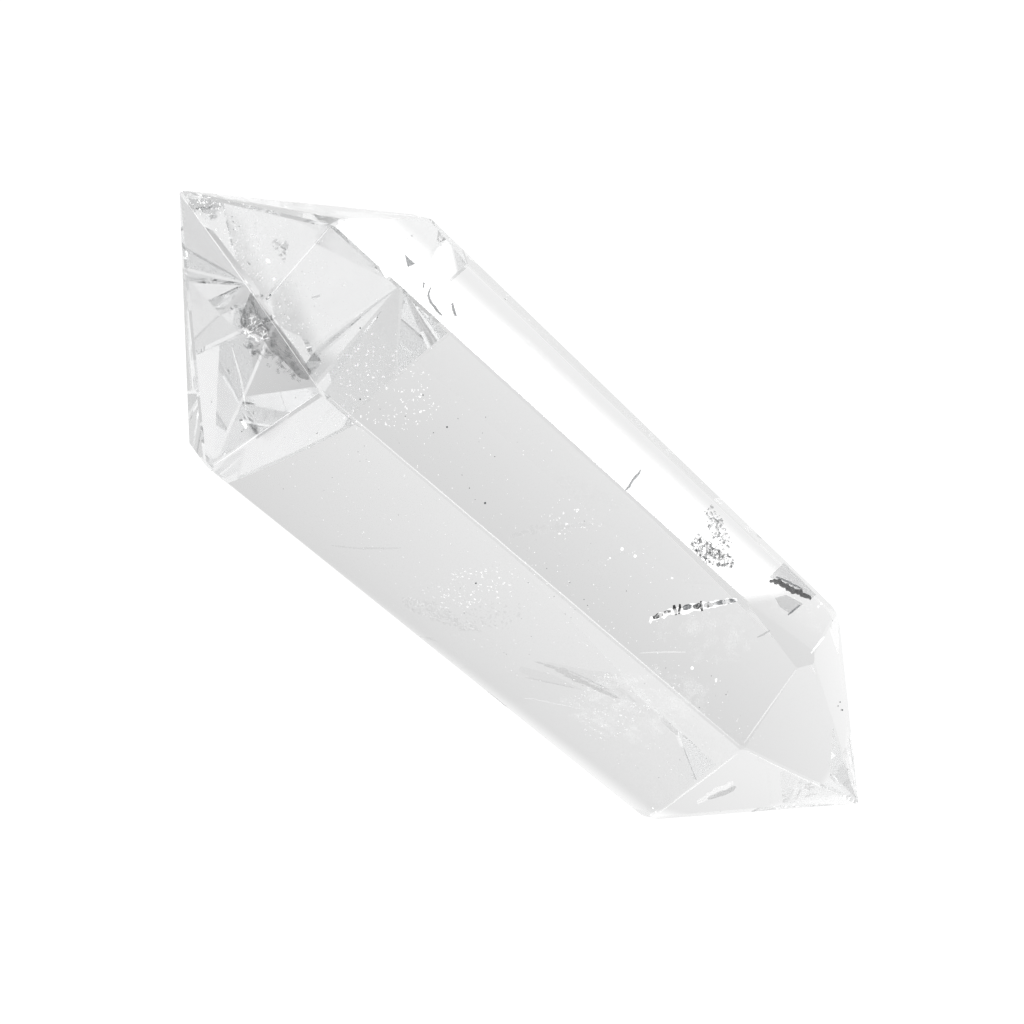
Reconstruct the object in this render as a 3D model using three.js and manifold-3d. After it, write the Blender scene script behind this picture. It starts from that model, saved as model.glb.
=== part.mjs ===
// A clear quartz crystal with a point at both ends, lying on one of its long faces.
//
// The crystal is one solid: a six-sided prism closed by six sloping faces at each end.
// It is made the way a lapidary makes it, by grinding a rough block to one flat plane
// after another: the long faces, the faces of the two points, then a fine bevel along
// every edge and a few small flats where the corners were eased.
//
// Millimetres, +Z up. The long axis runs along X, with the slender point at -X and the
// blunter point at +X. The origin is under the middle of the crystal, on the surface
// that it lies on.

import * as THREE from 'three';
import { mergeVertices } from 'three/addons/utils/BufferGeometryUtils.js';
import Module from 'manifold-3d';

const wasm = await Module();
wasm.setup();

const LENGTH = 80;          // tip to tip
const AXIS_HEIGHT = 8.44;   // long axis above the face that the crystal lies on
const EDGE_WIDTH = 0.28;    // width of the fine bevel polished along each edge
const ROUGH = 120;          // side of the rough block and of the grinding block

// The long faces, by the way each one faces round the axis (degrees from +Y towards +Z),
// its distance from the axis at mid-length, and how far it leans in towards +X.
const LONG_FACES = {
  front: { turn: 151.2, distance: 7.85, lean: 0.5 },
  top: { turn: 88.5, distance: 9.55, lean: 0.1 },
  back: { turn: 31.5, distance: 8.8, lean: -0.3 },
  lowBack: { turn: -32.9, distance: 9.74, lean: 1.6 },
  base: { turn: -90, distance: AXIS_HEIGHT, lean: 0 },
  lowFront: { turn: -161.3, distance: 11.61, lean: 0.3 },
};

// The faces of a point all pass through its tip. Each has the way it faces round the
// axis and the angle between its normal and the long axis.
const SLENDER_POINT = {
  end: -1,
  tip: { y: -0.2, z: 8.45 },
  faces: {
    front: { turn: 154.5, steepness: 75.7 },
    top: { turn: 88.2, steepness: 82 },
    back: { turn: 15.2, steepness: 62.1 },
    lowBack: { turn: 3.4, steepness: 60.6 },
    base: { turn: -80, steepness: 54.9 },
    lowFront: { turn: 177.2, steepness: 60.4 },
  },
};

const BLUNT_POINT = {
  end: 1,
  tip: { y: 0.65, z: -1.2 },
  faces: {
    front: { turn: 137.7, steepness: 64.6 },
    top: { turn: 87.3, steepness: 63.8 },
    back: { turn: 50.3, steepness: 63.3 },
    lowBack: { turn: -26.2, steepness: 58 },
    base: { turn: -88.3, steepness: 36.5 },
    lowFront: { turn: -148.8, steepness: 50.8 },
  },
};

// A worn flat that opens along the edge between the top and back faces, near the blunt
// point, given in the same way as a long face.
const WORN_EDGE = { turn: 58, distance: 11.25, lean: 4.5 };

// Corners eased by hand, by the faces that meet there and the depth taken off.
const EASED_CORNERS = [
  { long: ['front', 'top'], point: 'slender', faces: ['front'], depth: 0.1 },
  { long: ['front', 'top'], point: 'blunt', faces: ['front', 'top'], depth: 0.12 },
  { long: ['front', 'lowFront'], point: 'blunt', faces: ['front', 'lowFront'], depth: 0.25 },
  { long: ['back', 'lowBack'], point: 'blunt', faces: ['back', 'lowBack'], depth: 0.35 },
  { long: ['front', 'lowFront'], point: 'slender', faces: ['front', 'lowFront'], depth: 0.12 },
];

/** A plane of a long face: its outward normal and its distance from the axis's middle. */
function longPlane({ turn, distance, lean }) {
  const around = THREE.MathUtils.degToRad(turn);
  const tilt = THREE.MathUtils.degToRad(lean);
  const normal = new THREE.Vector3(
    Math.sin(tilt),
    Math.cos(tilt) * Math.cos(around),
    Math.cos(tilt) * Math.sin(around),
  );
  return { normal, distance };
}

/** A plane of a point's face, through the point's tip. */
function pointPlane(point, { turn, steepness }) {
  const around = THREE.MathUtils.degToRad(turn);
  const slope = THREE.MathUtils.degToRad(steepness);
  const normal = new THREE.Vector3(
    point.end * Math.cos(slope),
    Math.sin(slope) * Math.cos(around),
    Math.sin(slope) * Math.sin(around),
  );
  const tip = new THREE.Vector3(point.end * LENGTH / 2, point.tip.y, point.tip.z);
  return { normal, distance: normal.dot(tip) };
}

/** The plane of the bevel of a given width along the edge between two planes. */
function edgePlane(first, second, width) {
  const sum = first.normal.clone().add(second.normal);
  const turn = first.normal.angleTo(second.normal);
  const depth = width / 2 * Math.tan(turn / 2);
  const distance = (first.distance + second.distance) / sum.length() - depth;
  return { normal: sum.normalize(), distance };
}

/** The point where three planes meet. */
function meetingPoint(a, b, c) {
  const rows = new THREE.Matrix3(
    a.normal.x, a.normal.y, a.normal.z,
    b.normal.x, b.normal.y, b.normal.z,
    c.normal.x, c.normal.y, c.normal.z,
  );
  return new THREE.Vector3(a.distance, b.distance, c.distance).applyMatrix3(rows.invert());
}

/** The plane that takes a depth off the corner where planes meet, facing between them. */
function cornerPlane(planes, depth) {
  const normal = new THREE.Vector3();
  planes.forEach((plane) => normal.add(plane.normal));
  normal.normalize();
  const corner = meetingPoint(planes[0], planes[1], planes[2]);
  return { normal, distance: normal.dot(corner) - depth };
}

/** Turns a three.js geometry into a solid. */
function solidFrom(geometry) {
  const plain = geometry.clone();
  plain.deleteAttribute('normal');
  plain.deleteAttribute('uv');
  const merged = mergeVertices(plain, 1e-5);
  return new wasm.Manifold(new wasm.Mesh({
    numProp: 3,
    vertProperties: new Float32Array(merged.attributes.position.array),
    triVerts: new Uint32Array(merged.index.array),
  }));
}

/** Turns a solid back into a three.js geometry. */
function geometryFrom(solid) {
  const mesh = solid.getMesh();
  const geometry = new THREE.BufferGeometry();
  geometry.setAttribute('position', new THREE.BufferAttribute(mesh.vertProperties, 3));
  geometry.setIndex(new THREE.BufferAttribute(mesh.triVerts, 1));
  geometry.computeVertexNormals();
  return geometry;
}

/** Grinds a solid flat to a plane, taking away all that lies outside it. */
function grind(solid, { normal, distance }) {
  const block = new THREE.BoxGeometry(ROUGH, ROUGH, ROUGH);
  block.translate(0, 0, ROUGH / 2);
  const turn = new THREE.Quaternion().setFromUnitVectors(new THREE.Vector3(0, 0, 1), normal);
  block.applyQuaternion(turn);
  block.translate(normal.x * distance, normal.y * distance, normal.z * distance);
  return solid.subtract(solidFrom(block));
}

/** The crystal's main planes, by name: the long faces and the faces of both points. */
function mainPlanes() {
  const main = { long: {}, slender: {}, blunt: {} };
  for (const name of Object.keys(LONG_FACES)) {
    main.long[name] = longPlane(LONG_FACES[name]);
    main.slender[name] = pointPlane(SLENDER_POINT, SLENDER_POINT.faces[name]);
    main.blunt[name] = pointPlane(BLUNT_POINT, BLUNT_POINT.faces[name]);
  }
  return main;
}

/** The fine bevels between each face and its neighbours. */
function edgePlanes({ long, slender, blunt }) {
  const names = Object.keys(long);
  return names.flatMap((name, i) => {
    const next = names[(i + 1) % names.length];
    return [
      edgePlane(long[name], long[next], EDGE_WIDTH),
      edgePlane(slender[name], slender[next], EDGE_WIDTH),
      edgePlane(blunt[name], blunt[next], EDGE_WIDTH),
      edgePlane(long[name], slender[name], EDGE_WIDTH),
      edgePlane(long[name], blunt[name], EDGE_WIDTH),
    ];
  });
}

/** The flats at the eased corners. */
function cornerPlanes(main) {
  return EASED_CORNERS.map(({ long, point, faces, depth }) => {
    const planes = [
      ...long.map((name) => main.long[name]),
      ...faces.map((name) => main[point][name]),
    ];
    return cornerPlane(planes, depth);
  });
}

/** The finished crystal as one mesh. */
function quartzPoint() {
  const main = mainPlanes();
  const planes = [
    ...Object.values(main.long),
    ...Object.values(main.slender),
    ...Object.values(main.blunt),
    longPlane(WORN_EDGE),
    ...edgePlanes(main),
    ...cornerPlanes(main),
  ];
  const rough = solidFrom(new THREE.BoxGeometry(ROUGH, ROUGH, ROUGH));
  const crystal = planes.reduce(grind, rough);
  const material = new THREE.MeshStandardMaterial({
    color: 0xf2f3f3,
    roughness: 0.03,
    metalness: 0,
    transparent: true,
    opacity: 0.35,
  });
  const mesh = new THREE.Mesh(geometryFrom(crystal), material);
  mesh.name = 'quartz_point';
  const middle = new THREE.Box3().setFromObject(mesh).getCenter(new THREE.Vector3());
  mesh.position.set(-middle.x, -middle.y, AXIS_HEIGHT);
  return mesh;
}

const object = new THREE.Group();
object.add(quartzPoint());

export default object;
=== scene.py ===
"""A clear double terminated quartz point: its polished body and the faults inside it."""

import logging
import math
import random
from dataclasses import dataclass, field
from enum import Enum

import bmesh
import bpy
from mathutils import Euler, Matrix, Vector
from mathutils.bvhtree import BVHTree


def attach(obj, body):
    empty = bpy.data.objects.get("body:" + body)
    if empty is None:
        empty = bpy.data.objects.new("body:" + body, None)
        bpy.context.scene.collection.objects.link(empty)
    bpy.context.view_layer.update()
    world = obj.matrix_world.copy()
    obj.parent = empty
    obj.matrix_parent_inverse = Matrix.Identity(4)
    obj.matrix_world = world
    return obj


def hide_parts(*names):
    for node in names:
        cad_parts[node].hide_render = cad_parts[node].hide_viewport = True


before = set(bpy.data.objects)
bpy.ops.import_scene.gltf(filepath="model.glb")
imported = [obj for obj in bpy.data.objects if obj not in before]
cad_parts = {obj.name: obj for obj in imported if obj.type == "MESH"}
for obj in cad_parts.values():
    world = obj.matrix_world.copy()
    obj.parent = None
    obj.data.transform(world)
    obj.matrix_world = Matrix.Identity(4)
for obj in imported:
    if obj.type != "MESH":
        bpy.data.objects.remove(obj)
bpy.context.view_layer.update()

log = logging.getLogger("quartz")

Pixel = tuple[float, float]

MM = 0.001
NODE = "quartz_point"
QUARTZ_IOR = 1.544
PHOTO_SIDE = 1024

# Light passes this many faces inside the crystal, and this many half clear marks.
GLASS_BOUNCES = 64
CLEAR_BOUNCES = 16

# The flakes of a cloud come in sizes between these shares of its named size.
FLAKE_SHARES = (0.35, 1.4)

# A crack's ends keep this share of a step, so that they are narrow but not sharp.
END_SHARE = 0.3


def linear(hex_colour: str) -> tuple[float, float, float, float]:
    """Turns an sRGB hex colour into linear values.

    Args:
        hex_colour: Six hex digits, such as "f2f3f3".

    Returns:
        Linear red, green and blue, and an alpha of one.
    """
    parts = [int(hex_colour[i:i + 2], 16) / 255 for i in (0, 2, 4)]
    red, green, blue = [p / 12.92 if p <= 0.04045 else ((p + 0.055) / 1.055) ** 2.4 for p in parts]
    return red, green, blue, 1.0


def add_node(tree: bpy.types.NodeTree, kind: str, settings: dict[str, object] | None = None,
             **inputs: object) -> bpy.types.Node:
    """Adds a node with its settings and links.

    Args:
        tree: The tree that the node goes into.
        kind: The node's type name.
        settings: The node's own properties.
        **inputs: Values or output sockets, by input name with _ for a space.

    Returns:
        The new node.
    """
    node = tree.nodes.new(kind)
    for name, value in (settings or {}).items():
        setattr(node, name, value)
    for name, value in inputs.items():
        socket = node.inputs[name.replace("_", " ")]
        if isinstance(value, bpy.types.NodeSocket):
            tree.links.new(value, socket)
        else:
            socket.default_value = value
    return node


def add_math(tree: bpy.types.NodeTree, operation: str, *terms: object) -> bpy.types.NodeSocket:
    """Adds one sum, product or other step of arithmetic.

    Args:
        tree: The tree that the node goes into.
        operation: The node's operation, such as "ADD".
        *terms: Numbers or output sockets, in the node's order.

    Returns:
        The socket that carries the result.
    """
    node = add_node(tree, "ShaderNodeMath", {"operation": operation})
    for socket, term in zip(node.inputs, terms):
        if isinstance(term, bpy.types.NodeSocket):
            tree.links.new(term, socket)
        else:
            socket.default_value = term
    return node.outputs[0]


def add_step(tree: bpy.types.NodeTree, value: bpy.types.NodeSocket, start: float, end: float,
             low: object = 0.0, high: object = 1.0) -> bpy.types.NodeSocket:
    """Adds a soft step from low at the start value to high at the end value.

    Args:
        tree: The tree that the node goes into.
        value: The socket that drives the step.
        start: The value where the step begins.
        end: The value where the step is complete.
        low: The result before the step, a number or a socket.
        high: The result after the step, a number or a socket.

    Returns:
        The socket that carries the result.
    """
    node = add_node(tree, "ShaderNodeMapRange", {"interpolation_type": "SMOOTHSTEP"}, Value=value,
                    From_Min=start, From_Max=end, To_Min=low, To_Max=high)
    return node.outputs["Result"]


@dataclass(frozen=True)
class PolishedQuartz:
    """Rock crystal, ground flat and polished with cerium oxide: water clear, glassy lustre."""

    name: str = "polished_quartz"
    colour: str = "ffffff"
    roughness: float = 0.0
    body_colour: str = "a9abac"
    absorption: float = 4.9
    ripple_mm: float = 6.0
    ripple_height_mm: float = 0.002

    def make(self) -> bpy.types.Material:
        """Builds the material: clear transmission, a faintly absorbing body, a slight ripple."""
        mat = bpy.data.materials.new(self.name)
        mat.use_nodes = True
        tree = mat.node_tree
        tree.nodes.clear()
        coords = add_node(tree, "ShaderNodeTexCoord")
        ripple = add_node(tree, "ShaderNodeTexNoise", Vector=coords.outputs["Object"],
                          Scale=1 / (self.ripple_mm * MM), Detail=1.0)
        bump = add_node(tree, "ShaderNodeBump", Height=ripple.outputs["Fac"],
                        Distance=self.ripple_height_mm * MM, Strength=1.0)
        skin = add_node(tree, "ShaderNodeBsdfPrincipled", Base_Color=linear(self.colour),
                        Roughness=self.roughness, IOR=QUARTZ_IOR, Transmission_Weight=1.0,
                        Normal=bump.outputs["Normal"])
        body = add_node(tree, "ShaderNodeVolumeAbsorption", Color=linear(self.body_colour),
                        Density=self.absorption)
        out = add_node(tree, "ShaderNodeOutputMaterial")
        tree.links.new(skin.outputs["BSDF"], out.inputs["Surface"])
        tree.links.new(body.outputs["Volume"], out.inputs["Volume"])
        return mat


@dataclass(frozen=True)
class FaultFinish:
    """A fault in the quartz, by how light or dark it looks and how much shows through it.

    The glow is light of the fault's own. It stands in for light that white flakes scatter.
    """

    name: str
    colour: str
    roughness: float = 0.5
    opacity: float = 1.0
    glow: float = 0.0

    def make(self) -> bpy.types.Material:
        """Builds the material, or finds it if it is made already."""
        if self.name in bpy.data.materials:
            return bpy.data.materials[self.name]
        mat = bpy.data.materials.new(self.name)
        mat.use_nodes = True
        skin = mat.node_tree.nodes["Principled BSDF"]
        skin.inputs["Base Color"].default_value = linear(self.colour)
        skin.inputs["Roughness"].default_value = self.roughness
        skin.inputs["Alpha"].default_value = self.opacity
        skin.inputs["Emission Color"].default_value = linear(self.colour)
        skin.inputs["Emission Strength"].default_value = self.glow
        return mat


# Tiny fluid bubbles and fresh chips look white, and their glow is painted light.
BUBBLES = FaultFinish("fluid_bubbles_white", "fdfdfd", 0.6, glow=0.45)
# Bubbles too fine to tell apart make a pale mist, and its glow is painted light.
MIST = FaultFinish("fine_bubble_mist", "fbfcfc", 0.8, 0.03, 0.45)
# A crack full of air sends light back as a white streak; its glow is painted light for that.
WHITE_CRACK = FaultFinish("air_crack_white", "fdfdfd", 0.4, 0.5, 0.5)
# A worn edge has a fine frosted line along it, and its glow is painted light.
FROST = FaultFinish("worn_edge_frost", "fdfdfd", 0.6, 0.18, 0.4)
# A frosted patch of fine bubbles is half clear, and its glow is painted light.
FROST_PATCH = FaultFinish("frosted_patch", "fdfdfd", 0.7, 0.25, 0.5)
# An open crack turns light away from the eye and looks grey.
SHADE = FaultFinish("open_crack_grey", "6c6f72", 0.4, 0.8)
# A thin crack film dims what lies behind it.
FILM = FaultFinish("crack_film_dim", "55585b", 0.4, 0.14)
# A charcoal grey sheet is painted shade, standing in for a dark refraction in the slender point's faces.
PAINTED_SHADE_SHEET = FaultFinish("painted_shade_charcoal", "303234", 0.5, 0.24)
# A patch of fine scratches looks like a soft white sheen: the white is the scratches, and the glow is
# painted light.
SHEEN = FaultFinish("scratched_sheen", "fdfdfd", 0.7, 0.12, 0.4)
# Small flat cavities near the surface look like grey pepper.
PEPPER = FaultFinish("cavity_pepper", "56595c", 0.5, 0.28)
# A crack with a dark stain is nearly black.
STAIN = FaultFinish("stained_crack_dark", "1e1f21", 0.5, 0.9)


@dataclass
class CrystalBody:
    """The polished body, made from the solid."""

    finish: PolishedQuartz = field(default_factory=PolishedQuartz)
    merge_mm: float = 0.001
    flat_deg: float = 0.05

    def build(self) -> bpy.types.Object:
        """Makes the body from a merged copy of the solid, one face for each polished flat."""
        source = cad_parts[NODE]
        mesh = bpy.data.meshes.new("crystal_body")
        bm = bmesh.new()
        bm.from_mesh(source.data)
        bmesh.ops.remove_doubles(bm, verts=bm.verts, dist=self.merge_mm * MM)
        bmesh.ops.dissolve_limit(bm, angle_limit=math.radians(self.flat_deg), verts=bm.verts,
                                 edges=bm.edges)
        bmesh.ops.recalc_face_normals(bm, faces=bm.faces)
        bm.to_mesh(mesh)
        bm.free()
        body = place("crystal_body", mesh)
        mesh.materials.append(self.finish.make())
        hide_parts(NODE)
        return body


def place(name: str, mesh: bpy.types.Mesh) -> bpy.types.Object:
    """Puts a finished mesh in the scene as a piece that rides on the crystal.

    Args:
        name: The piece's name.
        mesh: The mesh, in the crystal's frame.

    Returns:
        The new object.
    """
    piece = bpy.data.objects.new(name, mesh)
    bpy.context.scene.collection.objects.link(piece)
    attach(piece, "root")
    log.info("%s: %d faces", name, len(mesh.polygons))
    return piece


class Sight:
    """Looks through the camera into the crystal, bending each line of sight at its surface."""

    def __init__(self, camera: bpy.types.Object, body: bpy.types.Object) -> None:
        """Keeps the camera's place and a search tree of the body."""
        self.eye = camera.matrix_world.translation.copy()
        self.turn = camera.matrix_world.to_3x3()
        self.focal = camera.data.lens / camera.data.sensor_width * PHOTO_SIDE
        mesh = body.data
        self.tree = BVHTree.FromPolygons([v.co for v in mesh.vertices],
                                         [tuple(f.vertices) for f in mesh.polygons])

    def under(self, pixel: Pixel, depth_mm: float) -> Vector:
        """Finds the point at a depth below the surface that a pixel shows.

        Args:
            pixel: The pixel, in the photograph's frame.
            depth_mm: The depth below the face, square to it, or less than nought above it.

        Returns:
            The point, in metres.

        Raises:
            ValueError: The pixel misses the crystal.
        """
        half = PHOTO_SIDE / 2
        line = self.turn @ Vector(((pixel[0] - half) / self.focal, (half - pixel[1]) / self.focal, -1))
        line.normalize()
        point, normal, _, _ = self.tree.ray_cast(self.eye, line)
        if point is None:
            raise ValueError(f"pixel {pixel} misses the crystal")
        ratio = 1 / QUARTZ_IOR
        cosine = -line.dot(normal)
        bent = ratio * line + (ratio * cosine - math.sqrt(1 - ratio ** 2 * (1 - cosine ** 2))) * normal
        return point + bent * (depth_mm * MM / -bent.dot(normal))


def sunk_rim(sight: Sight, outline: list[Pixel], depth_mm: tuple[float, float],
             lift_mm: float = 0.0) -> list[Vector]:
    """Finds an outline's corners below the surface, sinking towards its middle corners.

    Args:
        sight: The sight that finds each place.
        outline: The outline, in the photograph's pixels.
        depth_mm: The depths of the first corner and of the middle corners.
        lift_mm: A depth that is added to both.

    Returns:
        The corners, in metres.
    """
    near, far = depth_mm
    rim = []
    for i, pixel in enumerate(outline):
        share = 0.5 - 0.5 * math.cos(math.tau * i / len(outline))
        rim.append(sight.under(pixel, near + (far - near) * share + lift_mm))
    return rim


def closed_mesh(name: str, points: list[Vector], faces: list[tuple[int, ...]],
                finish: FaultFinish) -> bpy.types.Mesh:
    """Makes a closed mesh with its normals outward.

    Args:
        name: The mesh's name.
        points: The vertices, in metres.
        faces: The faces, by vertex numbers.
        finish: The finish of every face.

    Returns:
        The new mesh.
    """
    mesh = bpy.data.meshes.new(name)
    mesh.from_pydata(points, [], faces)
    bm = bmesh.new()
    bm.from_mesh(mesh)
    bmesh.ops.recalc_face_normals(bm, faces=bm.faces)
    bm.to_mesh(mesh)
    bm.free()
    mesh.materials.append(finish.make())
    return mesh


@dataclass
class Film:
    """A flat fault: a thin closed sheet with the outline that the photograph shows."""

    name: str
    outline: list[Pixel]
    depth_mm: tuple[float, float]
    finish: FaultFinish
    thick_mm: float = 0.02

    def build(self, sight: Sight) -> bpy.types.Object:
        """Makes the sheet as a fan round its middle, closed at the rim."""
        count = len(self.outline)
        layers = []
        for lift_mm in (0, self.thick_mm):
            rim = sunk_rim(sight, self.outline, self.depth_mm, lift_mm)
            layers += [sum(rim, Vector()) / count] + rim
        faces = []
        back = count + 1
        for i in range(count):
            a, b = i + 1, (i + 1) % count + 1
            faces += [(0, a, b), (back, back + b, back + a), (a, back + a, back + b, b)]
        mesh = closed_mesh(self.name, layers, faces, self.finish)
        return place(self.name, mesh)


@dataclass
class Crack:
    """A crack seen edge on: a thin ribbon with a ragged rim along a path of the photograph."""

    name: str
    path: list[Pixel]
    width_px: float
    depth_mm: float
    finish: FaultFinish
    jag_px: float = 0.0
    step_px: float = 4.0
    thick_mm: float = 0.02
    seed: int = 1

    def stations(self) -> list[tuple[Vector, Vector]]:
        """Finds the two rim pixels at each step along the path, narrowing to both ends."""
        dice = random.Random(self.seed)
        corners = [Vector(pixel) for pixel in self.path]
        steps = []
        for a, b in zip(corners, corners[1:]):
            count = max(1, round((b - a).length / self.step_px))
            side = (b - a).normalized().orthogonal()
            steps += [(a.lerp(b, i / count), side) for i in range(count)]
        steps.append((corners[-1], side))
        rims = []
        for i, (middle, side) in enumerate(steps):
            along = (i + END_SHARE) / (len(steps) - 1 + 2 * END_SHARE)
            taper = math.sqrt(math.sin(math.pi * along))
            middle = middle + side * dice.uniform(-self.jag_px, self.jag_px)
            left = self.width_px / 2 * taper + dice.uniform(0, self.jag_px)
            right = self.width_px / 2 * taper + dice.uniform(0, self.jag_px)
            rims.append((middle + side * left, middle - side * right))
        return rims

    def build(self, sight: Sight) -> bpy.types.Object:
        """Makes the ribbon as a row of closed cross-sections."""
        points = []
        for left, right in self.stations():
            points += [sight.under(left, self.depth_mm), sight.under(right, self.depth_mm),
                       sight.under(right, self.depth_mm + self.thick_mm),
                       sight.under(left, self.depth_mm + self.thick_mm)]
        last = len(points) - 4
        faces = [(0, 1, 2, 3), (last + 3, last + 2, last + 1, last)]
        for start in range(0, last, 4):
            for side in range(4):
                a, b = start + side, start + (side + 1) % 4
                faces.append((a, b, b + 4, a + 4))
        mesh = closed_mesh(self.name, points, faces, self.finish)
        return place(self.name, mesh)


@dataclass
class Specks:
    """Single specks, each a small rough lump at its own place."""

    name: str
    spots: list[tuple[float, float, float]]
    depth_mm: float
    finish: FaultFinish
    seed: int = 1
    stretch: tuple[float, float] = (0.5, 1.2)

    def build(self, sight: Sight) -> bpy.types.Object:
        """Makes every speck from an icosphere, stretched and turned at random."""
        dice = random.Random(self.seed)
        bm = bmesh.new()
        for x, y, size_mm in self.spots:
            sides = [size_mm * MM * dice.uniform(*self.stretch) for _ in range(3)]
            lump = Matrix.Diagonal(sides + [1])
            turn = Euler([dice.uniform(0, math.tau) for _ in range(3)]).to_matrix().to_4x4()
            middle = Matrix.Translation(sight.under((x, y), self.depth_mm))
            bmesh.ops.create_icosphere(bm, subdivisions=1, radius=0.5, matrix=middle @ turn @ lump)
        mesh = bpy.data.meshes.new(self.name)
        bm.to_mesh(mesh)
        bm.free()
        mesh.materials.append(self.finish.make())
        return place(self.name, mesh)


class Shape(Enum):
    """How the flakes of a cloud are shaped."""

    DOTS = (1.0, 1.0, 0.8)
    PLATES = (1.6, 1.0, 0.15)
    NEEDLES = (3.0, 0.5, 0.5)


def cloud_tree() -> bpy.types.NodeTree:
    """Builds the tree that scatters flakes over a sheet."""
    tree = bpy.data.node_groups.new("fault_cloud", "GeometryNodeTree")
    ports = tree.interface
    ports.new_socket("Geometry", in_out="INPUT", socket_type="NodeSocketGeometry")
    for name, kind in (("Density", "Float"), ("Size", "Float"), ("Flake", "Vector"), ("Seed", "Int"),
                       ("Spread", "Float"), ("Material", "Material")):
        ports.new_socket(name, in_out="INPUT", socket_type="NodeSocket" + kind)
    ports.new_socket("Geometry", in_out="OUTPUT", socket_type="NodeSocketGeometry")
    given = add_node(tree, "NodeGroupInput").outputs
    points = add_node(tree, "GeometryNodeDistributePointsOnFaces", Mesh=given["Geometry"],
                      Density=given["Density"], Seed=given["Seed"])
    offset = add_node(tree, "FunctionNodeRandomValue", {"data_type": "FLOAT_VECTOR"}, Seed=given["Seed"])
    offset.inputs[0].default_value = (-1, -1, -1)
    offset.inputs[1].default_value = (1, 1, 1)
    reach = add_node(tree, "ShaderNodeVectorMath", {"operation": "SCALE"}, Scale=given["Spread"])
    tree.links.new(offset.outputs[0], reach.inputs[0])
    moved = add_node(tree, "GeometryNodeSetPosition", Geometry=points.outputs["Points"],
                     Offset=reach.outputs[0])
    flake = add_node(tree, "GeometryNodeMeshIcoSphere", Radius=0.5, Subdivisions=1)
    turn = add_node(tree, "FunctionNodeRandomValue", {"data_type": "FLOAT_VECTOR"}, Seed=given["Seed"])
    turn.inputs[1].default_value = (math.tau, math.tau, math.tau)
    grow = add_node(tree, "FunctionNodeRandomValue", Seed=given["Seed"])
    grow.inputs[2].default_value, grow.inputs[3].default_value = FLAKE_SHARES
    size = add_math(tree, "MULTIPLY", grow.outputs[1], given["Size"])
    scale = add_node(tree, "ShaderNodeVectorMath", {"operation": "SCALE"}, Scale=size)
    tree.links.new(given["Flake"], scale.inputs[0])
    copies = add_node(tree, "GeometryNodeInstanceOnPoints", Points=moved.outputs["Geometry"],
                      Instance=flake.outputs["Mesh"], Rotation=turn.outputs[0], Scale=scale.outputs[0])
    real = add_node(tree, "GeometryNodeRealizeInstances", Geometry=copies.outputs["Instances"])
    dressed = add_node(tree, "GeometryNodeSetMaterial", Geometry=real.outputs["Geometry"],
                       Material=given["Material"])
    add_node(tree, "NodeGroupOutput", Geometry=dressed.outputs["Geometry"])
    return tree


@dataclass
class Cloud:
    """A cloud of bubbles or flakes on a healed crack, outlined as the photograph shows it."""

    name: str
    outline: list[Pixel]
    depth_mm: tuple[float, float]
    per_mm2: float
    size_mm: float
    finish: FaultFinish
    shape: Shape = Shape.DOTS
    spread_mm: float = 0.15
    seed: int = 1

    def sheet(self, sight: Sight) -> bpy.types.Mesh:
        """Makes the sheet that the flakes lie on, deepest at the outline's middle corners."""
        count = len(self.outline)
        rim = sunk_rim(sight, self.outline, self.depth_mm)
        middle = sum(rim, Vector()) / count
        mesh = bpy.data.meshes.new(self.name + "_sheet")
        mesh.from_pydata([middle] + rim, [], [(0, i + 1, (i + 1) % count + 1) for i in range(count)])
        return mesh

    def build(self, sight: Sight, tree: bpy.types.NodeTree) -> bpy.types.Object:
        """Scatters the flakes and makes them one plain mesh."""
        work = bpy.data.objects.new(self.name + "_work", self.sheet(sight))
        bpy.context.scene.collection.objects.link(work)
        values = {"Density": self.per_mm2 / MM ** 2, "Size": self.size_mm * MM, "Flake": self.shape.value,
                  "Seed": self.seed, "Spread": self.spread_mm * MM, "Material": self.finish.make()}
        scatter = work.modifiers.new("cloud", "NODES")
        scatter.node_group = tree
        for item in tree.interface.items_tree:
            if item.in_out == "INPUT" and item.name in values:
                scatter[item.identifier] = values[item.name]
        graph = bpy.context.evaluated_depsgraph_get()
        mesh = bpy.data.meshes.new_from_object(work.evaluated_get(graph))
        mesh.name = self.name
        bpy.data.objects.remove(work)
        return place(self.name, mesh)


# Marks that reach the surface lie on the polish. Their depth in millimetres is below nought,
# because they stand this far above it.
SKIN = -0.03

TOP_FACE = [(340, 262), (560, 452), (720, 600), (738, 730), (560, 590), (335, 392)]
FRONT_FACE = [(245, 455), (318, 402), (560, 606), (728, 752), (662, 800), (450, 632)]

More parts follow.
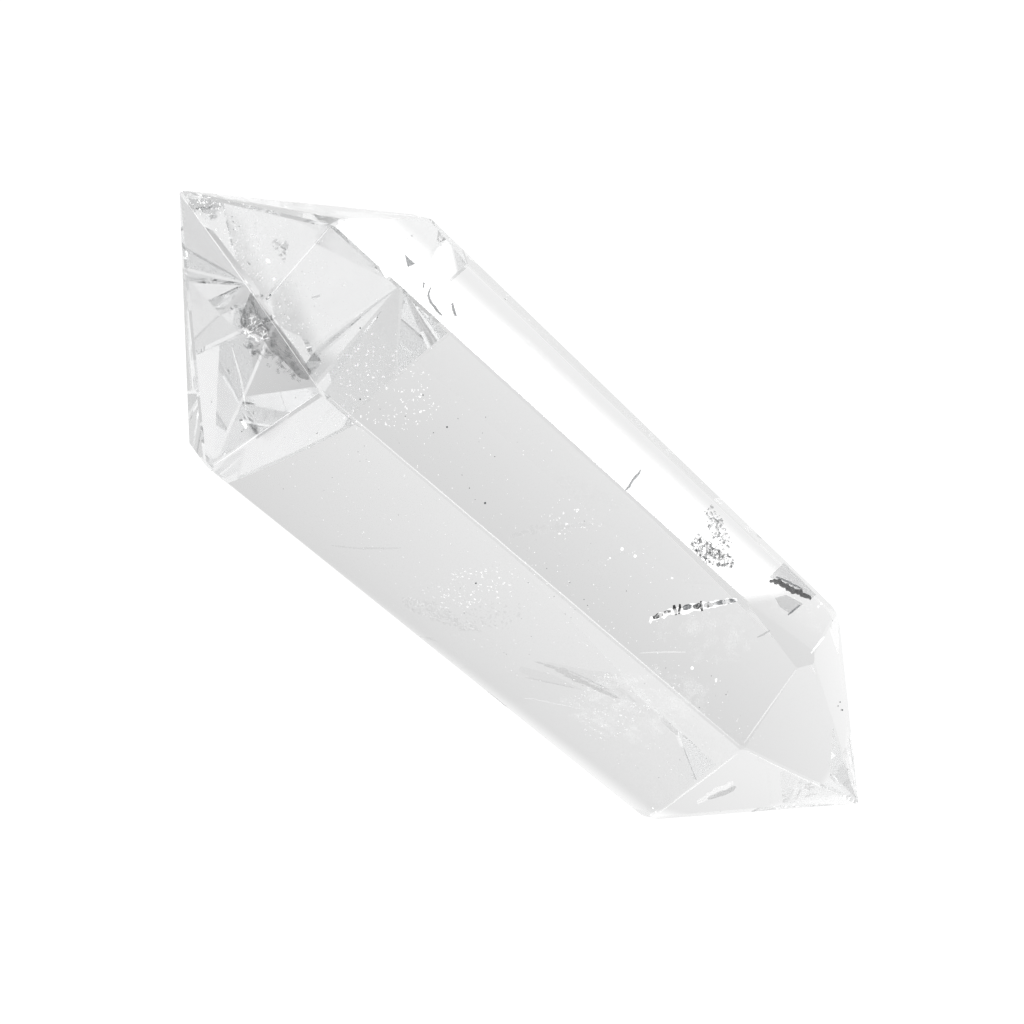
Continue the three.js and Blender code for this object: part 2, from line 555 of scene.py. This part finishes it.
CLOUDS = [
    Cloud("veil_top_slender", [(330, 352), (372, 338), (425, 372), (445, 420), (400, 432), (345, 405)],
          (0.8, 3.0), 8.0, 0.11, BUBBLES, Shape.PLATES, 0.5, 3),
    Cloud("veil_top_middle", [(538, 508), (575, 500), (602, 520), (590, 540), (550, 532)],
          (0.8, 2.0), 6.0, 0.12, BUBBLES, Shape.PLATES, 0.4, 5),
    Cloud("veil_front_middle", [(425, 588), (470, 566), (515, 572), (505, 600), (450, 612)],
          (0.8, 2.5), 5.0, 0.13, BUBBLES, Shape.PLATES, 0.4, 7),
    Cloud("veil_front_blunt", [(560, 690), (610, 668), (672, 676), (660, 712), (600, 745), (575, 725)],
          (0.8, 3.0), 2.2, 0.12, BUBBLES, Shape.DOTS, 0.5, 9),
    Cloud("mist_front_blunt", [(570, 700), (620, 672), (700, 684), (690, 720), (640, 745), (590, 730)],
          (0.8, 3.0), 4.0, 0.8, MIST, Shape.PLATES, 0.6, 10),
    Cloud("mist_top_blunt", [(655, 624), (690, 614), (738, 606), (765, 640), (725, 668), (675, 650)],
          (0.6, 2.0), 3.0, 0.8, MIST, Shape.PLATES, 0.5, 12),
    Cloud("speckle_back_dense", [(690, 543), (698, 534), (714, 546), (736, 560), (730, 569), (704, 562)],
          (SKIN, SKIN), 26.0, 0.22, PEPPER, Shape.PLATES, 0.02, 11),
    Cloud("speckle_back_white", [(690, 543), (698, 534), (714, 546), (736, 560), (730, 569), (704, 562)],
          (2 * SKIN, 2 * SKIN), 10.0, 0.2, BUBBLES, Shape.PLATES, 0.02, 23),
    Cloud("speckle_point_white", [(242, 318), (254, 313), (266, 322), (268, 338), (256, 343), (244, 333)],
          (2 * SKIN, 2 * SKIN), 26.0, 0.13, FROST_PATCH, Shape.NEEDLES, 0.02, 25),
    # Grey flakes over the slender point's dark patch are painted shade, ragged at the rim.
    Cloud("point_painted_shade_ragged", [(240, 300), (262, 316), (300, 360), (304, 384), (286, 380), (240, 345)],
          (SKIN, SKIN), 9.0, 0.3, FILM, Shape.PLATES, 0.02, 27),
    Cloud("speckle_back_loose", [(704, 512), (712, 504), (722, 520), (734, 545), (728, 556), (712, 540)],
          (SKIN, SKIN), 10.0, 0.18, PEPPER, Shape.PLATES, 0.02, 14),
    Cloud("smudge_tip_dark", [(271, 238), (284, 236), (288, 250), (286, 264), (281, 258)],
          (SKIN, SKIN), 22.0, 0.3, FILM, Shape.PLATES, 0.02, 13),
    Cloud("dust_top", TOP_FACE, (0.5, 6.0), 0.7, 0.075, BUBBLES, Shape.DOTS, 0.4, 15),
    Cloud("dust_front", FRONT_FACE, (0.5, 5.0), 0.7, 0.075, BUBBLES, Shape.DOTS, 0.4, 17),
    Cloud("dust_top_dark", TOP_FACE, (0.5, 4.0), 0.12, 0.065, SHADE, Shape.DOTS, 0.4, 19),
    Cloud("dust_front_dark", FRONT_FACE, (0.5, 4.0), 0.12, 0.065, SHADE, Shape.DOTS, 0.4, 21),
]

CRACKS = [
    Crack("fissure_white", [(649, 621), (660, 615), (676, 611), (702, 606), (737, 600)], 5.5, SKIN,
          WHITE_CRACK, 1.4, 3.0, seed=2),
    Crack("fissure_dark_a", [(653, 618), (663, 614)], 4, SKIN, STAIN, 0.6, 3.0, seed=3),
    Crack("fissure_dark_b", [(664, 613), (671, 611)], 3, SKIN, STAIN, 0.4, 3.0, seed=4),
    Crack("fissure_dark_c", [(674, 605), (676, 615)], 3, SKIN, STAIN, 0.4, 3.0, seed=5),
    Crack("fissure_dark_d", [(680, 604), (679, 614)], 2.5, SKIN, STAIN, 0.3, 3.0, seed=6),
    Crack("fissure_dark_e", [(683, 609), (692, 606)], 5, SKIN, SHADE, 0.8, 3.0, seed=7),
    Crack("fissure_dark_f", [(693, 607), (701, 605)], 5, SKIN, STAIN, 0.8, 2.0, seed=8),
    Crack("fissure_dark_g", [(701, 601), (702, 611)], 3, SKIN, STAIN, 0.4, 3.0, seed=9),
    Crack("fissure_dark_h", [(704, 606), (713, 604)], 4.5, SKIN, STAIN, 0.8, 2.0, seed=10),
    Crack("fissure_grey", [(713, 604), (724, 602), (736, 600.5)], 4.5, SKIN, SHADE, 0.3, 4.0, seed=11),
    Crack("oval_dark", [(770, 580), (781, 583), (792, 589), (802, 594), (811, 599)], 4.2, SKIN, STAIN,
          1.3, 2.0, seed=24),
    Crack("oval_line", [(776, 577), (788, 582), (802, 589)], 1.2, SKIN, SHADE, 0.4, 3.0, seed=25),
    Crack("point_streak_left", [(232, 348), (240, 375), (246, 408)], 1.8, SKIN, SHEEN, 0.3, seed=28),
    Crack("back_crack_upper", [(424, 282), (423, 288)], 1.2, SKIN, SHADE, 0.3, seed=12),
    Crack("back_crack_long", [(431, 287), (428, 295), (430, 301), (437, 310), (442, 315)], 1.5, SKIN, SHADE,
          0.4, seed=13),
    Crack("back_crack_short", [(452, 303), (456, 316)], 1.8, SKIN, SHADE, 0.5, seed=14),
    Crack("back_crack_middle", [(641, 470), (634, 480), (626, 490)], 1.6, SKIN, SHADE, 0.8, seed=15),
    Crack("back_dash_blunt", [(788, 615), (800, 605)], 1.6, SKIN, SHADE, 0.3, seed=16),
    Crack("point_streak_white", [(697, 803), (713, 793), (733, 782)], 5, SKIN, SHEEN, 0.8, seed=17),
    Crack("point_streak_dark", [(708, 799), (722, 793), (736, 787)], 4, SKIN, FILM, 0.8, seed=18),
    Crack("top_light_line", [(640, 653), (664, 652), (686, 652)], 1.2, SKIN, SHEEN, 0.2, seed=19),
    Crack("top_dash_blunt", [(757, 637), (770, 631)], 1.4, SKIN, FILM, 0.4, seed=20),
    Crack("top_dash_slender", [(312, 298), (321, 295)], 1.4, SKIN, FILM, 0.5, 3.0, seed=21),
    Crack("front_light_band", [(602, 690), (640, 678), (690, 676)], 3, 1.2, MIST, 1.5, seed=22),
    Crack("blunt_light_dash", [(811, 653), (824, 637)], 1.5, SKIN, WHITE_CRACK, 0.2, seed=23),
]

EDGES = [
    Crack("edge_front_top", [(322, 391), (530, 567), (739, 745)], 0.9, SKIN, FROST, 0.15, 9.0, seed=31),
    Crack("edge_slender_front_top", [(182, 196), (250, 290), (318, 388)], 0.9, SKIN, FROST, 0.1, 9.0,
          seed=32),
    Crack("edge_slender_front_base", [(213, 466), (262, 432), (318, 393)], 0.9, SKIN, FROST, 0.1, 9.0,
          seed=33),
    Crack("edge_slender_top_base", [(267, 299), (300, 261), (328, 229)], 1.0, SKIN, FROST, 0.15, 9.0,
          seed=34),
    Crack("edge_blunt_top_base", [(744, 743), (770, 706), (796, 670)], 1.0, SKIN, FROST, 0.15, 9.0, seed=35),
    Crack("edge_blunt_front_top", [(745, 750), (800, 777), (853, 801)], 0.9, SKIN, FROST, 0.1, 9.0, seed=36),
    Crack("edge_blunt_front_base", [(660, 812), (700, 782), (737, 754)], 1.0, SKIN, FROST, 0.15, 9.0,
          seed=37),
]

FILMS = [
    Film("oval_shade", [(769, 577), (784, 563), (800, 579), (816, 595), (810, 600), (790, 591)],
         (SKIN, SKIN), FILM),
    Film("oval_shade_lower", [(775, 598), (786, 595), (803, 604), (791, 614), (780, 607)],
         (SKIN, SKIN), FILM),
    # This charcoal sheet at the slender point is painted shade for a dark refraction in its faces.
    Film("point_painted_shade", [(251, 292), (274, 321), (297, 350), (311, 371), (309, 380), (300, 378),
                             (284, 361), (270, 350), (262, 336), (244, 329), (240, 322), (245, 306)],
         (SKIN, SKIN), PAINTED_SHADE_SHEET),
    Film("back_flake_dark", [(405, 255), (415, 264), (408, 267)], (SKIN, SKIN), SHADE),
]

SPECKS = [
    Specks("dark_specks", [(360, 328, 0.15), (423, 395, 0.15), (447, 427, 0.15), (485, 503, 0.18),
                           (840, 702, 0.12), (842, 710, 0.15), (838, 706, 0.12), (476, 583, 0.18),
                           (270, 295, 0.14), (267, 299, 0.12)], SKIN, SHADE, 3),
    Specks("bright_specks", [(692, 668, 0.25), (716, 680, 0.3), (672, 578, 0.2), (622, 549, 0.25),
                             (610, 558, 0.2), (635, 556, 0.2), (268, 261, 0.3), (274, 279, 0.25),
                             (821, 604, 0.25), (818, 607, 0.2)], SKIN, BUBBLES, 5),
    Specks("corner_chips", [(651, 815, 0.2), (656, 812, 0.15), (653, 808, 0.15)], SKIN, BUBBLES, 7),
]


def build_faults(sight: Sight) -> None:
    """Builds every fault in and on the crystal."""
    tree = cloud_tree()
    for cloud in CLOUDS:
        cloud.build(sight, tree)
    for fault in CRACKS + EDGES + FILMS + SPECKS:
        fault.build(sight)


@dataclass
class LightTable:
    """A glowing white table with painted shadow under the crystal, and a brighter strip beside it.

    A search for the photograph's tones found most of these values, and the others were set one
    by one. They are not measured light.
    """

    side_mm: float = 1500.0
    drop_mm: float = 0.05
    glow: float = 1.08
    # The dim zone's values below paint a shadow on the table under the crystal; no lamp casts it.
    painted_shadow_glow: float = 0.764
    painted_shadow_x_mm: tuple[float, float] = (-18.3, 33.6)
    painted_shadow_y_mm: tuple[float, float] = (-7.0, 6.5)
    painted_shadow_soft_mm: float = 2.4
    painted_shadow_skew: float = 0.0625
    # These tilt the painted shadow, so it is darker towards one side of the crystal.
    lean_x: float = 0.003
    lean_y: float = 0.081
    painted_shadow_lean_span_mm: tuple[float, float] = (30.0, 6.0)
    strip_glow: float = 4.22
    strip_y_mm: tuple[float, float] = (21.9, 69.3)
    strip_x_mm: tuple[float, float] = (-36.8, 34.0)
    strip_edge_mm: float = 4.0

    def outside(self, tree: bpy.types.NodeTree, along: bpy.types.NodeSocket,
                span_mm: tuple[float, float]) -> bpy.types.NodeSocket:
        """Adds the distance of a place from a span, nought inside it.

        Args:
            tree: The tree that the nodes go into.
            along: The place, in metres.
            span_mm: The start and end of the span.

        Returns:
            The socket that carries the distance.
        """
        middle, half = sum(span_mm) / 2 * MM, (span_mm[1] - span_mm[0]) / 2 * MM
        offset = add_math(tree, "ABSOLUTE", add_math(tree, "SUBTRACT", along, middle))
        return add_math(tree, "MAXIMUM", add_math(tree, "SUBTRACT", offset, half), 0.0)

    def band(self, tree: bpy.types.NodeTree, along: bpy.types.NodeSocket,
             span_mm: tuple[float, float]) -> bpy.types.NodeSocket:
        """Adds a soft-edged band that is one inside a span.

        Args:
            tree: The tree that the nodes go into.
            along: The place, in metres.
            span_mm: The start and end of the span, with its soft edges.

        Returns:
            The socket that carries the band.
        """
        edge = self.strip_edge_mm
        rise = add_step(tree, along, span_mm[0] * MM, (span_mm[0] + edge) * MM)
        fall = add_step(tree, along, (span_mm[1] - edge) * MM, span_mm[1] * MM, 1.0, 0.0)
        return add_math(tree, "MULTIPLY", rise, fall)

    def finish(self) -> bpy.types.Material:
        """Builds the glowing acrylic: a brighter strip, and painted shadow under the crystal."""
        mat = bpy.data.materials.new("light_table_painted_shadow")
        mat.use_nodes = True
        tree = mat.node_tree
        tree.nodes.clear()
        coords = add_node(tree, "ShaderNodeTexCoord")
        spot = add_node(tree, "ShaderNodeSeparateXYZ", Vector=coords.outputs["Object"])
        x, y = spot.outputs["X"], spot.outputs["Y"]
        away_x = self.outside(tree, x, self.painted_shadow_x_mm)
        across = add_math(tree, "SUBTRACT", y, add_math(tree, "MULTIPLY", x, self.painted_shadow_skew))
        away_y = self.outside(tree, across, self.painted_shadow_y_mm)
        away = add_math(tree, "SQRT", add_math(tree, "ADD", add_math(tree, "POWER", away_x, 2.0),
                                               add_math(tree, "POWER", away_y, 2.0)))
        # The painted shadow's tone under the crystal, tilted darker towards one side.
        slope_x = add_math(tree, "MULTIPLY", x, self.lean_x / (self.painted_shadow_lean_span_mm[0] * MM))
        slope_y = add_math(tree, "MULTIPLY", y, self.lean_y / (self.painted_shadow_lean_span_mm[1] * MM))
        painted_shadow_tone = add_math(tree, "ADD", add_math(tree, "ADD", slope_x, slope_y), self.painted_shadow_glow)
        base = add_step(tree, away, 0.0, self.painted_shadow_soft_mm * MM, painted_shadow_tone, self.glow)
        strip = add_math(tree, "MULTIPLY", self.band(tree, x, self.strip_x_mm),
                         self.band(tree, y, self.strip_y_mm))
        total = add_node(tree, "ShaderNodeMapRange", Value=strip, To_Min=base, To_Max=self.strip_glow)
        glow = add_node(tree, "ShaderNodeEmission", Strength=total.outputs["Result"])
        out = add_node(tree, "ShaderNodeOutputMaterial")
        tree.links.new(glow.outputs["Emission"], out.inputs["Surface"])
        return mat

    def build(self) -> None:
        """Lays the table just below the crystal."""
        side, low = self.side_mm * MM, -self.drop_mm * MM
        mesh = bpy.data.meshes.new("light_table")
        mesh.from_pydata([(-side, -side, low), (side, -side, low), (side, side, low), (-side, side, low)],
                         [], [(0, 1, 2, 3)])
        table = bpy.data.objects.new("light_table", mesh)
        bpy.context.scene.collection.objects.link(table)
        mesh.materials.append(self.finish())


@dataclass
class Tent:
    """The white tent round the table, with a brighter opening low down on one side.

    A search for the photograph's tones found these values. They are not measured light.
    """

    glow: float = 0.92
    opening_glow: float = 1.54
    opening_low: float = 0.01
    opening_high: float = 0.564
    opening_turn_deg: float = 180.7
    opening_half_deg: float = 60.6
    opening_soft_deg: float = 17.0
    lean_x: float = -0.3
    lean_y: float = -0.08
    least_level: float = 0.001

    def build(self) -> None:
        """Makes the tent as the world's background."""
        world = bpy.data.worlds.new("white_tent")
        bpy.context.scene.world = world
        world.use_nodes = True
        tree = world.node_tree
        coords = add_node(tree, "ShaderNodeTexCoord")
        way = add_node(tree, "ShaderNodeSeparateXYZ", Vector=coords.outputs["Generated"])
        x, y, z = way.outputs["X"], way.outputs["Y"], way.outputs["Z"]
        turn = math.radians(self.opening_turn_deg)
        level = add_math(tree, "SQRT", add_math(tree, "ADD", add_math(tree, "POWER", x, 2.0),
                                                add_math(tree, "POWER", y, 2.0)))
        ahead = add_math(tree, "ADD", add_math(tree, "MULTIPLY", x, math.cos(turn)),
                         add_math(tree, "MULTIPLY", y, math.sin(turn)))
        facing = add_math(tree, "DIVIDE", ahead, add_math(tree, "MAXIMUM", level, self.least_level))
        edge = math.cos(math.radians(self.opening_half_deg))
        end = math.cos(math.radians(self.opening_half_deg + self.opening_soft_deg))
        beside = add_step(tree, facing, end, edge, 1.0, 0.0)
        above = add_step(tree, z, self.opening_low, self.opening_high)
        open_share = add_math(tree, "MAXIMUM", beside, above)
        lean = add_math(tree, "ADD", add_math(tree, "MULTIPLY", x, self.lean_x * self.glow),
                        add_math(tree, "MULTIPLY", y, self.lean_y * self.glow))
        cloth = add_math(tree, "ADD", lean, self.glow)
        total = add_node(tree, "ShaderNodeMapRange", Value=open_share, To_Min=self.opening_glow,
                         To_Max=cloth)
        back = tree.nodes["Background"]
        tree.links.new(total.outputs["Result"], back.inputs["Strength"])
        back.inputs["Color"].default_value = (1, 1, 1, 1)


@dataclass
class Camera:
    """The camera, at the photograph's angle, solved from corners measured in the photograph."""

    aim_mm: tuple[float, float, float] = (-2.9, -0.34, 8.44)
    distance_mm: float = 171.5
    heading_deg: float = 12.25
    elevation_deg: float = 57.9
    roll_deg: float = -117.0
    lens_mm: float = 86.4
    sensor_mm: float = 36.0
    clip_mm: tuple[float, float] = (1.0, 10000.0)

    def build(self) -> bpy.types.Object:
        """Places the camera and looks through it."""
        heading, rise = math.radians(self.heading_deg), math.radians(self.elevation_deg)
        look = Vector((math.cos(heading) * math.cos(rise), math.sin(heading) * math.cos(rise),
                       -math.sin(rise)))
        level = look.to_track_quat("-Z", "Y").to_matrix()
        turned = level @ Matrix.Rotation(math.radians(-self.roll_deg), 3, "Z")
        data = bpy.data.cameras.new("camera")
        data.lens, data.sensor_width = self.lens_mm, self.sensor_mm
        data.clip_start, data.clip_end = [edge * MM for edge in self.clip_mm]
        cam = bpy.data.objects.new("camera", data)
        bpy.context.scene.collection.objects.link(cam)
        spot = Vector(self.aim_mm) * MM - look * self.distance_mm * MM
        cam.matrix_world = Matrix.Translation(spot) @ turned.to_4x4()
        bpy.context.scene.camera = cam
        return cam


def set_light_paths() -> None:
    """Lets light pass the many inner faces, and shows tones as they are."""
    bpy.context.scene.view_settings.view_transform = "Standard"
    cycles = bpy.context.scene.cycles
    cycles.max_bounces = GLASS_BOUNCES
    cycles.transmission_bounces = GLASS_BOUNCES
    cycles.glossy_bounces = GLASS_BOUNCES
    cycles.transparent_max_bounces = CLEAR_BOUNCES


def main() -> None:
    """Builds the crystal and the studio in order."""
    logging.basicConfig(level=logging.INFO)
    camera = Camera().build()
    LightTable().build()
    Tent().build()
    set_light_paths()
    body = CrystalBody().build()
    bpy.context.view_layer.update()
    build_faults(Sight(camera, body))


if __name__ == "__main__":
    main()
